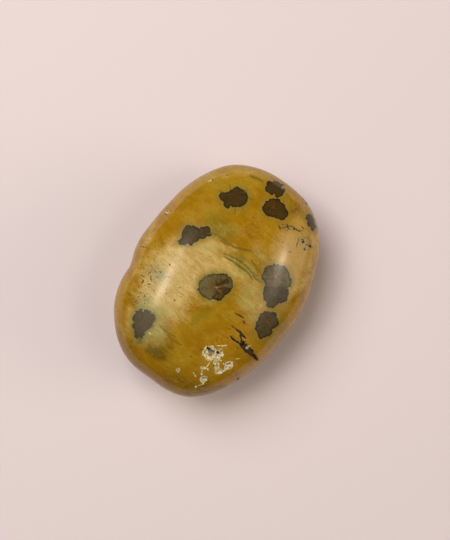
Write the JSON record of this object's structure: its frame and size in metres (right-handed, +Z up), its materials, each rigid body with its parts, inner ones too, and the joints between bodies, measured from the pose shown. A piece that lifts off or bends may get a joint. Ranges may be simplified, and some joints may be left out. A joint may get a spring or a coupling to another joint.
{
  "type": "palm stone",
  "caption": "Flattened oval polished pebble of spotted yellow jasper, sized to sit in the palm, with open natural pits and cracks and a small flat spot to rest on.",
  "frame": {"origin": "on the resting surface, under the middle of the stone's bounding box", "axes": "+X along the stone's length, +Y across it, +Z up through its thickness"},
  "size_m": [0.0648, 0.0476, 0.024],
  "materials": {
    "polished_jasper": "polished mustard-yellow jasper with cream zones, dark grey-brown orb spots and open drusy pits"
  },
  "bodies": {
    "root": {"palm_stone": "polished_jasper"}
  },
  "joints": []
}
